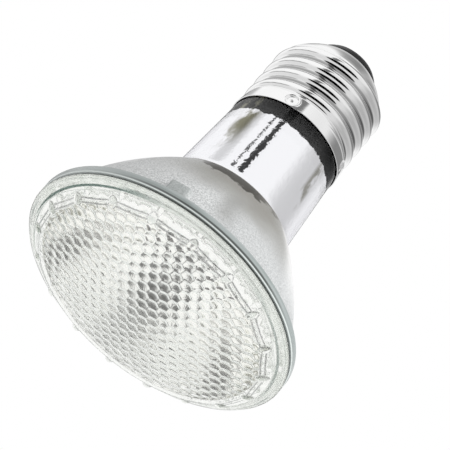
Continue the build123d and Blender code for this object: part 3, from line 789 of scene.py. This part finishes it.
def frostedBowl():
    paint = newPaint("frostedBowl")
    height = paint.height()
    turn = paint.turn()
    grain = paint.grain(frost["grainSize"], 2.0, 0.6)
    cloud = paint.grain(frost["cloudSize"])
    sparkle = paint.step(grain, *frost["grainRange"])
    colour = paint.mixColour(sparkle, frost["dark"], frost["light"])
    shade = paint.step(turn, *frost["shadeTurn"]) * frost["shadeShare"]
    colour = paint.mixColour(shade, colour, frost["shade"])

    # Painted light: both sides of the bowl brighter
    litSides = paint.step(turn, *frost["rightTurn"]).larger(1 - paint.step(turn, *frost["leftTurn"]))
    bright = paint.mixColour(sparkle, frost["brightDark"], frost["brightLight"])
    colour = paint.mixColour(litSides * paint.step(height, *frost["brightHeight"]), colour, bright)

    # Painted dark reflection: a dark brownish patch on the near side of the bowl
    uneven = (cloud - 0.5) * frost["cloudReach"] + (grain - 0.5) * frost["grainReach"]
    thin = paint.step(height + uneven, *frost["thinHeight"]) * paint.window(turn, *frost["thinTurn"])
    colour = paint.mixColour(thin * frost["thinShare"], colour, frost["thin"])
    # Painted dark reflection: a narrow stripe on the near side
    stripe = paint.window(turn, *frost["stripeTurn"]) * paint.window(height, *frost["stripeHeight"])
    colour = paint.mixColour(stripe * frost["stripeShare"], colour, frost["stripe"])

    # A dark brown band below the end of the bowl, reaching further down and deepened by painted shade on the
    # near side
    near = paint.window(turn, *frost["nearTurn"])
    ragged = (paint.grain(frost["ragSize"], 5.0) - 0.5) * frost["ragReach"] + near * frost["nearReach"]
    start, end = frost["brownDrop"]
    brownBand = paint.step(height + ragged, bowlEnd - start, bowlEnd - end)
    brownBand = brownBand * paint.window(turn, *frost["brownTurn"])
    colour = paint.mixColour(brownBand * (frost["brownShare"] + near * frost["nearShade"]), colour, frost["brownBand"])
    # Painted shade: a darker ring at the very end of the bowl, where it meets the neck
    atEnd = paint.step(height, bowlEnd - frost["endDrop"], bowlEnd)
    colour = paint.mixColour(atEnd * frost["endShare"], colour, frost["end"])

    lug = paint.window(turn, bowl["lugTurn"], bowl["lugHalf"], frost["lugSoft"])
    lug = lug * (1 - paint.step(height, lugTop - frost["lugTopSoft"], lugTop + frost["lugTopSoft"]))
    colour = paint.mixColour(lug * frost["lugShare"], colour, frost["lug"])
    sockets = {
        "Base Color": colour, "Specular IOR Level": frost["shine"],
        "Roughness": frost["roughness"] - lug * frost["lugSmooth"],
        "Normal": paint.bump(grain * (1 - lug), frost["grainDepth"]),
    }
    return paint.surface(sockets)


# Mirror coat inside: dark brown blotches on two sides of the neck, and a ragged end that leaves the glass
# under the cap bare, painted black as painted shade for the dark inside of the cap
coat = {
    "bowl": rgb(0.992, 0.99, 0.977), "neck": rgb(0.93, 0.925, 0.955), "rippleSize": 1.1, "rippleDepth": 0.028,
    "bareDrop": (3.2, 3.05), "ragSize": 1.6, "ragReach": 2.6, "bareInShade": rgb(0.006, 0.006, 0.007),
    "blotchSize": 3.0, "blotchStretch": (1.0, 1.0, 0.5), "blotchRange": (0.42, 0.6),
    "leftTurn": (-140.0, 9.0, 5.0), "leftHeight": (36.0, 46.0),
    "rightTurn": (-40.0, 5.0, 3.0), "rightHeight": (37.0, 42.0), "rightShare": 0.7,
    "thin": rgb(0.2, 0.19, 0.13), "oliveTurn": (-152.0, 10.0, 4.0), "olive": rgb(0.36, 0.35, 0.26),
    "roughness": 0.01, "bareRoughness": 0.5,
}


def mirrorCoat():
    paint = newPaint("mirrorCoat")
    height = paint.height()
    turn = paint.turn()
    inNeck = paint.step(height, bowlEnd - bowl["throatDrop"], bowlEnd)
    ragged = (paint.grain(coat["ragSize"], 5.0, 0.65) - 0.5) * coat["ragReach"]
    start, end = coat["bareDrop"]
    # Bare glass under the cap, painted black: painted shade standing for the dark inside of the cap
    bareInShade = paint.step(height + ragged, neckSeat - start, neckSeat - end)
    blotch = paint.grain(coat["blotchSize"], 3.0, 0.6, coat["blotchStretch"])
    blotch = paint.step(blotch, *coat["blotchRange"])
    left = paint.window(turn, *coat["leftTurn"]) * paint.step(height, *coat["leftHeight"])
    right = paint.window(turn, *coat["rightTurn"]) * paint.step(height, *coat["rightHeight"])
    # Dark brown blotches on two sides of the neck
    thin = blotch * left.larger(right * coat["rightShare"]) * inNeck
    silver = paint.mixColour(inNeck, coat["bowl"], coat["neck"])
    silver = paint.mixColour(thin, silver, coat["thin"])
    olive = paint.window(turn, *coat["oliveTurn"]) * blotch
    dark = paint.mixColour(olive, coat["bareInShade"], coat["olive"])
    ripple = paint.grain(coat["rippleSize"], 2.0) * inNeck
    sockets = {
        "Base Color": paint.mixColour(bareInShade, silver, dark), "Metallic": 1 - bareInShade,
        "Roughness": bareInShade * coat["bareRoughness"] + coat["roughness"],
        "Normal": paint.bump(ripple, coat["rippleDepth"]),
    }
    return paint.surface(sockets)


# Polished metal of the cap, with painted shade in the roots of the thread
polish = {
    "cloudSize": 5.0, "dark": rgb(0.88, 0.88, 0.88), "light": rgb(0.97, 0.97, 0.97),
    "lineSize": 1.2, "lineStretch": (1.0, 1.0, 4.0), "lineDepth": 0.006,
    "rootReach": 0.13, "rootDrop": (1.0, 0.3), "rootShadeShare": 0.75, "root": rgb(0.16, 0.16, 0.16),
    "roughness": 0.05, "unevenness": 0.07,
}


def polishedCap():
    paint = newPaint("polishedCap")
    cloud = paint.grain(polish["cloudSize"], 4.0)
    lines = paint.grain(polish["lineSize"], 3.0, 0.5, polish["lineStretch"])
    start, end = polish["rootDrop"]
    # Painted shade in the roots of the thread
    root = 1 - paint.step(paint.away(), cap["root"], cap["root"] + polish["rootReach"])
    root = root * (1 - paint.step(paint.height(), shoulderHeight - start, shoulderHeight - end))
    colour = paint.mixColour(cloud, polish["dark"], polish["light"])
    colour = paint.mixColour(root * polish["rootShadeShare"], colour, polish["root"])
    roughness = polish["roughness"] + cloud * polish["unevenness"]
    sockets = {"Base Color": colour, "Metallic": 1.0, "Roughness": roughness}
    return paint.surface({**sockets, "Normal": paint.bump(lines, polish["lineDepth"])})


def clouded(name, light, dark, size, roughness, metallic=0.0, depth=0.02, shine=0.5):  # an even finish
    paint = newPaint(name)
    cloud = paint.grain(size, 4.0)
    colour = paint.mixColour(cloud, dark, light)
    uneven = roughness - 0.1 + cloud * 0.2
    sockets = {"Base Color": colour, "Roughness": uneven, "Metallic": metallic, "Specular IOR Level": shine}
    return paint.surface({**sockets, "Normal": paint.bump(cloud, depth)})


def metal(name, light, dark, size, roughness, depth=0.02):
    return clouded(name, light, dark, size, roughness, 1.0, depth)


def dress(piece, *materials):
    if piece.data.materials:
        piece.data.materials.clear()
    for material in materials:
        piece.data.materials.append(material)


lensBody = {"Color": rgb(0.84, 0.95, 0.86), "Density": 6.0}
lensClear = pressedGlass("lensClear", rgb(0.994, 0.997, 0.981), haze=0.02, waveDepth=0.002, body=lensBody)
# Dark glass along the nub flanks and ridge lines: painted shade
lensShadeLine = pressedGlass("lensShadeLine", rgb(0.08, 0.09, 0.085), haze=0.1, waveDepth=0.002)
neckClear = pressedGlass("neckClear", rgb(0.985, 0.995, 0.99), haze=0.04, waveDepth=0.004, ior=1.33)
quartz = pressedGlass("quartzClear", rgb(0.985, 0.99, 0.99), haze=0.03, waveDepth=0.003, ior=1.46)
fuseClear = pressedGlass("fuseClear", rgb(0.95, 0.98, 0.965), haze=0.05, waveDepth=0.003)
blackGlass = clouded(
    "blackGlass", rgb(0.012, 0.012, 0.013), rgb(0.006, 0.006, 0.006),
    size=3.0, roughness=0.25, depth=0.03, shine=0.1,
)
brass = metal("contactBrass", rgb(0.86, 0.75, 0.5), rgb(0.68, 0.56, 0.33), size=2.0, roughness=0.3)
tin = metal("solderTin", rgb(0.84, 0.84, 0.83), rgb(0.6, 0.6, 0.6), size=1.2, roughness=0.28, depth=0.05)
nickel = metal("nickelWire", rgb(0.75, 0.73, 0.7), rgb(0.6, 0.58, 0.55), size=1.0, roughness=0.35)
molybdenum = metal("molybdenum", rgb(0.6, 0.6, 0.61), rgb(0.45, 0.45, 0.46), size=1.0, roughness=0.35)
copper = metal("copperWire", rgb(0.85, 0.55, 0.4), rgb(0.65, 0.38, 0.26), size=1.5, roughness=0.35)
tungsten = metal("tungsten", rgb(0.4, 0.4, 0.41), rgb(0.25, 0.25, 0.26), size=1.0, roughness=0.4)
ceramic = clouded("steatite", rgb(0.9, 0.88, 0.83), rgb(0.8, 0.77, 0.71), size=2.0, roughness=0.7)
cement = clouded("cement", rgb(0.82, 0.8, 0.74), rgb(0.66, 0.63, 0.56), size=1.2, roughness=0.85)
sleeve = clouded("glassSleeve", rgb(0.88, 0.87, 0.83), rgb(0.72, 0.7, 0.65), size=0.7, roughness=0.8)

dress(lensPiece, lensClear, rimBack(), lensShadeLine)
dress(reflectorPiece, rimSilver(), flangeGlass(), frostedBowl(), neckClear, mirrorCoat())
dress(capPiece, polishedCap())
dress(beadPiece, blackGlass)
dress(contactPiece, brass)
dress(solderPiece, tin)
innerFinishes = {
    "rim_seal": sealBead(), "capsule_envelope": quartz, "filament": tungsten,
    "filament_leg_left": molybdenum, "filament_leg_right": molybdenum,
    "foil_left": molybdenum, "foil_right": molybdenum,
    "lead_pin_left": nickel, "lead_pin_right": nickel,
    "capsule_holder": ceramic, "holder_cement": cement,
    "sleeve_left": sleeve, "sleeve_right": sleeve,
    "fuse_tube": fuseClear, "fuse_wire": nickel,
    "centre_lead": copper, "side_lead": copper,
}
for node, material in innerFinishes.items():
    dress(nodes[node], material)
print("stage 6: finishes")

# Stage: pale floor, seen from above only, and a white world with dark patches for metal and glass to show
stage = {
    "floorDrop": 0.05, "floorRadius": 400.0, "floorSides": 96, "solidRadius": 120.0, "floorTone": 0.9,
    "softLight": 0.75,
}

# Each patch: azimuth, elevation, half width and softness in degrees, depth
lampGap = [(-115.0, elevation, 6.5, 2.0, 0.8) for elevation in (10.0, 21.0, 32.0, 43.0, 54.0)]
cameraSide = [(azimuth, -20.0, 24.0, 2.0, 0.97) for azimuth in (-104.0, -95.0, -86.0)]
overhead = [(92.0, elevation, 9.0, 4.0, 0.4) for elevation in (58.0, 66.0, 74.0, 82.0)]
leftSpots = [(-155.0, -13.0), (-168.0, -9.0), (179.0, -5.0), (165.0, 0.0)]
leftSide = [(*spot, 9.0, 3.0, 0.45) for spot in leftSpots]
metalPatches = lampGap + cameraSide + overhead + leftSide + [
    (-60.0, 20.0, 40.0, 15.0, 0.15),
    (25.0, 48.0, 28.0, 14.0, 0.75),
    (0.0, -5.0, 40.0, 15.0, 0.4),
    (90.0, 32.0, 14.0, 6.0, 0.6),
    (114.0, 32.0, 16.0, 8.0, 0.5),
    (0.0, -90.0, 75.0, 30.0, 0.25),
]
glassPatches = [
    (-122.0, 40.0, 5.0, 0.8, 0.95),
    (-141.0, 40.0, 2.2, 0.7, 0.9),
    (0.0, 40.0, 25.0, 18.0, 0.35),
    (-178.0, 40.0, 8.0, 6.0, 0.3),
    (-90.0, -32.0, 25.0, 5.0, 1.0),
]


def floorFinish(radius):  # fades out, and hides from below and from metal and glass
    paint = newPaint("paleFloor")
    away = paint.node("VectorMath", {"operation": "LENGTH"}, {0: paint.place()}, "Value")
    glossy = paint.node("LightPath", {}, {}, "Is Glossy Ray")
    through = glossy.out("Is Transmission Ray")
    below = paint.node("NewGeometry", {}, {}, "Backfacing")
    faded = paint.step(away, stage["solidRadius"] * mm, radius)
    hidden = below.larger(glossy).larger(through).larger(faded)
    tone = stage["floorTone"]
    matte = paint.node("BsdfDiffuse", {}, {"Color": rgb(tone, tone, tone)})
    clear = paint.node("BsdfTransparent", {}, {})
    shader = paint.node("MixShader", {}, {0: hidden, 1: matte, 2: clear})
    paint.node("OutputMaterial", {}, {"Surface": shader})
    return paint.owner


def buildFloor():
    count = stage["floorSides"]
    height = -stage["floorDrop"] * mm
    radius = stage["floorRadius"] * mm
    points = [ringPoint(radius, tau * i / count, height) for i in range(count)]
    mesh = bpy.data.meshes.new("floor")
    mesh.from_pydata(points, [], [tuple(range(count))])
    floor = bpy.data.objects.new("floor", mesh)
    bpy.context.scene.collection.objects.link(floor)
    dress(floor, floorFinish(radius))


def aim(azimuth, elevation):
    az, el = math.radians(azimuth), math.radians(elevation)
    return (math.cos(el) * math.cos(az), math.cos(el) * math.sin(az), math.sin(el))


def patchedLight(paint, patches):
    direction = paint.node("TexCoord", {}, {}, "Generated")
    light = 1.0
    for azimuth, elevation, half, soft, depth in patches:
        sockets = {0: direction, 1: aim(azimuth, elevation)}
        towards = paint.node("VectorMath", {"operation": "DOT_PRODUCT"}, sockets, "Value")
        outer = math.cos(math.radians(half + soft))
        inner = math.cos(math.radians(half - soft))
        light = light * (1 - paint.step(towards, outer, inner) * depth)
    return light


def buildWorld():
    world = bpy.data.worlds.new("studio")
    bpy.context.scene.world = world
    paint = Paint(world)
    camera = paint.node("LightPath", {}, {}, "Is Camera Ray")
    glossy = camera.out("Is Glossy Ray")
    through = camera.out("Is Transmission Ray")
    metalLight = glossy * patchedLight(paint, metalPatches) + (1 - glossy) * stage["softLight"]
    light = through * patchedLight(paint, glassPatches) + (1 - through) * metalLight
    strength = camera + (1 - camera) * light
    shader = paint.node("Background", {}, {"Color": rgb(1, 1, 1), "Strength": strength})
    paint.node("OutputWorld", {}, {"Surface": shader})


lampSetup = {"place": (0.5, -0.35, 0.35), "aim": (0, 0, 0.04), "size": 0.35, "power": 3.0}


def addLamp():
    data = bpy.data.lights.new("keyLamp", "AREA")
    data.energy = lampSetup["power"]
    data.size = lampSetup["size"]
    lamp = bpy.data.objects.new("keyLamp", data)
    bpy.context.scene.collection.objects.link(lamp)
    lamp.location = lampSetup["place"]
    towards = Vector(lampSetup["aim"]) - Vector(lampSetup["place"])
    lamp.rotation_euler = towards.to_track_quat("-Z", "Y").to_euler()
    lamp.visible_glossy = False
    lamp.visible_transmission = False


# The camera looks up at the lens from below, rolled to one side
view = {
    "target": (1.48, 0.0, 29.59), "distance": 918.3, "elevation": 32.194, "roll": 40.051,
    "lens": 356.4, "sensor": 36.0, "nearClip": 0.01,
}


def buildCamera():
    data = bpy.data.cameras.new("photoView")
    data.lens = view["lens"]
    data.sensor_width = view["sensor"]
    data.clip_start = view["nearClip"]
    camera = bpy.data.objects.new("photoView", data)
    bpy.context.scene.collection.objects.link(camera)
    elevation, roll = math.radians(view["elevation"]), math.radians(view["roll"])
    forward = Vector((0, math.cos(elevation), math.sin(elevation)))
    level = Vector((1, 0, 0))
    rise = level.cross(forward)
    right = level * math.cos(roll) + rise * math.sin(roll)
    axes = Matrix((right, right.cross(forward), -forward)).transposed()
    place = (Vector(view["target"]) - forward * view["distance"]) * mm
    camera.matrix_world = Matrix.Translation(place) @ axes.to_4x4()
    bpy.context.scene.camera = camera


buildFloor()
buildWorld()
addLamp()
buildCamera()
scene = bpy.context.scene
scene.view_settings.view_transform = "Standard"
scene.cycles.max_bounces = 32
scene.cycles.glossy_bounces = 24
scene.cycles.transmission_bounces = 24
print("stage 7: stage, light and camera")
